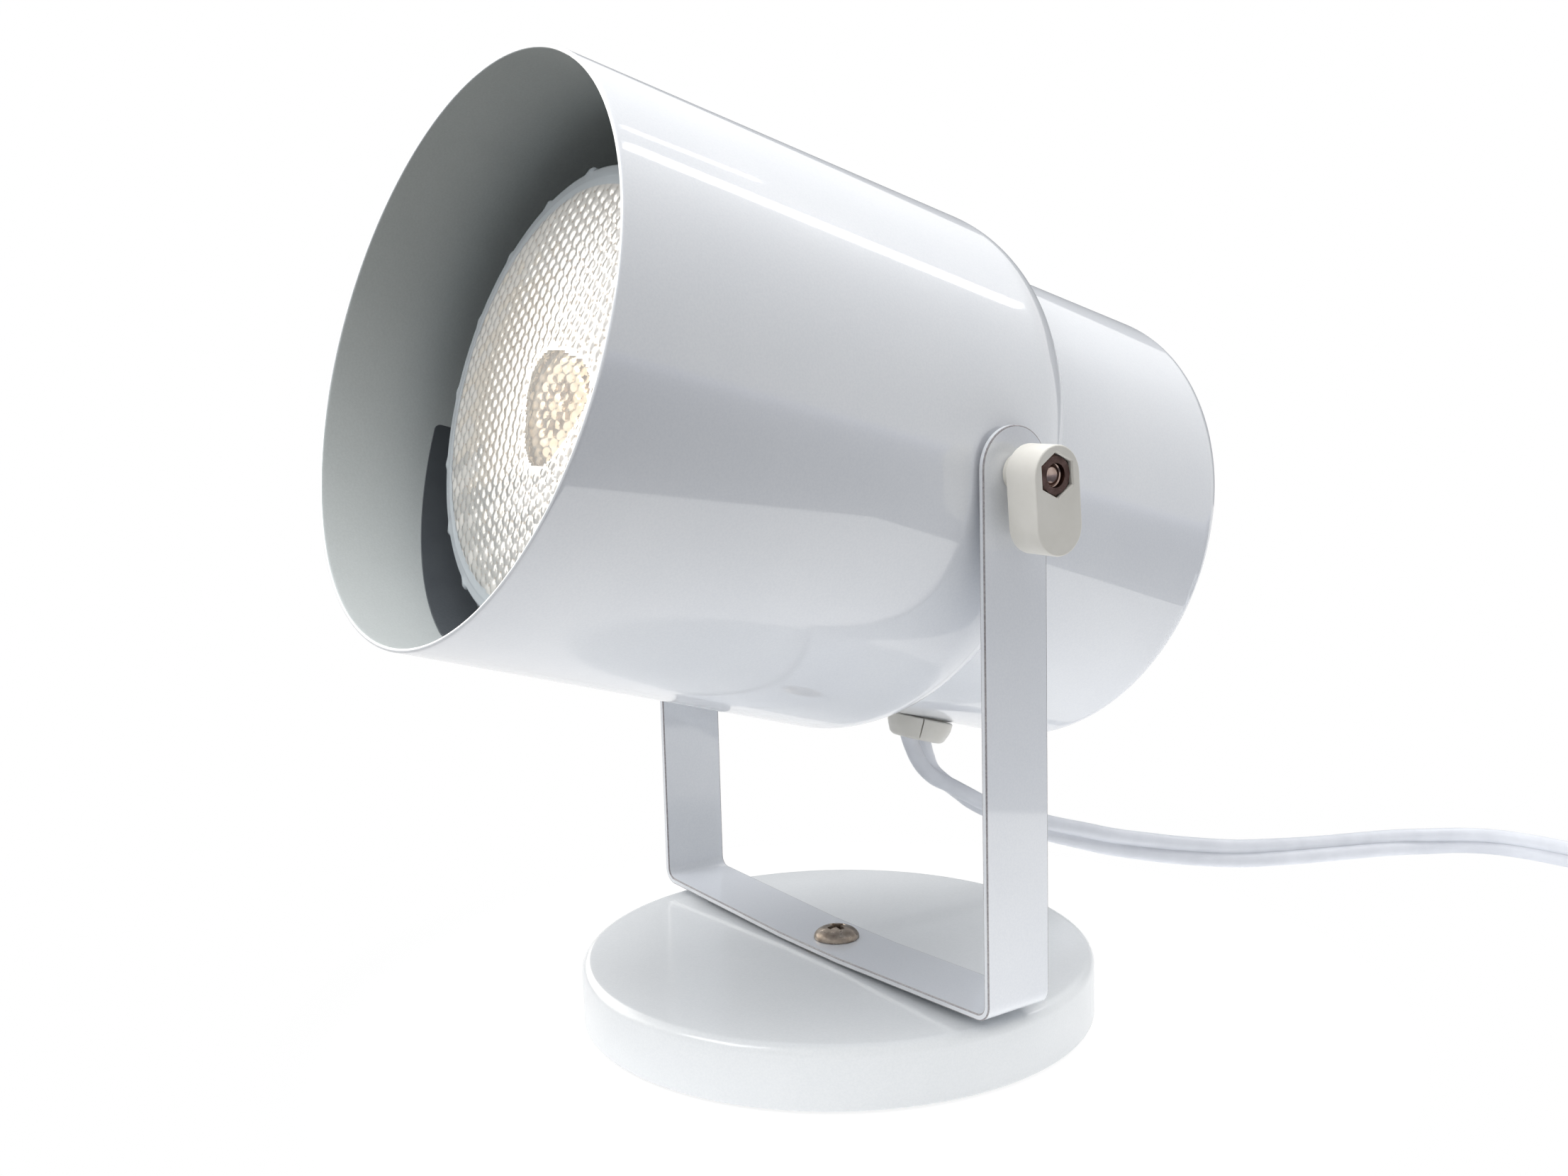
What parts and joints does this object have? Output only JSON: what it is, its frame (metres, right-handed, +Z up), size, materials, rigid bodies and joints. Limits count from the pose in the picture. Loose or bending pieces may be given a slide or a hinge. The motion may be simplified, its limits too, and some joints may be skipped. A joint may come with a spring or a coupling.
{
  "type": "landscape spotlight",
  "caption": "Table or floor spotlight with a weighted round base, a swivelling strip yoke and a tilting cylindrical hood round a reflector lamp, clamped by lever knobs.",
  "frame": {"origin": "centre of the base's underside, on the surface that it stands on", "axes": "+Z up along the swivel screw, -Y the way that the light shines, +X along the tilt axis"},
  "size_m": [0.259, 0.4431, 0.227],
  "materials": {
    "white_paint": "gloss white enamel",
    "iron": "rough",
    "pad": "matt",
    "old_nickel": "dull, darkened",
    "steel": "plated",
    "fibre": "matt",
    "grey_plate": "matt, blank",
    "silvering": "mirror",
    "lamp_glass": "clear, moulded",
    "brass": "satin",
    "black_glass": "gloss",
    "porcelain": "glazed",
    "cream_plastic": "satin",
    "cord_white": "satin",
    "grey_tie": "matt"
  },
  "bodies": {
    "base": {"base_pan": "white_paint", "base_weight": "iron", "base_pad": "pad", "swivel_screw": "old_nickel", "swivel_nut": "steel", "swivel_lock_washer": "steel", "swivel_washer": "fibre"},
    "yoke": {"yoke": "white_paint", "cord_drop": "cord_white", "cord_floor": "cord_white", "cord_coil": "cord_white", "cord_tie": "grey_tie", "plug_body": "cord_white", "plug_blades": "brass"},
    "head": {"hood": "white_paint", "rear_can": "white_paint", "blank_plate": "grey_plate", "lamp_reflector": "silvering", "lamp_lens": "lamp_glass", "lamp_burner": "lamp_glass", "lamp_cap": "brass", "lamp_insulator": "black_glass", "lamp_contact": "steel", "holder_body": "porcelain", "holder_shell": "brass", "holder_contact": "brass", "holder_bracket": "steel", "holder_screw": "steel", "bracket_screws": "steel", "bracket_nuts": "steel", "terminal_screws": "brass", "lead_wires": "cord_white", "pivot_bolt_right": "old_nickel", "pivot_bolt_left": "old_nickel", "pivot_washer_right": "fibre", "pivot_washer_left": "fibre", "cord_bushing": "cream_plastic"},
    "right_knob": {"knob_right": "cream_plastic", "knob_nut_right": "old_nickel"},
    "left_knob": {"knob_left": "cream_plastic", "knob_nut_left": "old_nickel"}
  },
  "joints": [
    {"name": "swivel", "type": "hinge", "parent": "base", "child": "yoke", "pos_m": [0, 0, 0.0156], "axis": [0, 0, 1], "range_deg": [-175, 175]},
    {"name": "tilt", "type": "hinge", "parent": "yoke", "child": "head", "pos_m": [0, 0, 0.1366], "axis": [-1, 0, 0], "range_deg": [-35, 50], "deforming": ["cord_drop"]},
    {"name": "turn_right_knob", "type": "hinge", "parent": "head", "child": "right_knob", "pos_m": [0.0662, 0, 0.1366], "axis": [1, 0, 0], "continuous": true},
    {"name": "turn_left_knob", "type": "hinge", "parent": "head", "child": "left_knob", "pos_m": [-0.0662, 0, 0.1366], "axis": [-1, 0, 0], "continuous": true}
  ]
}
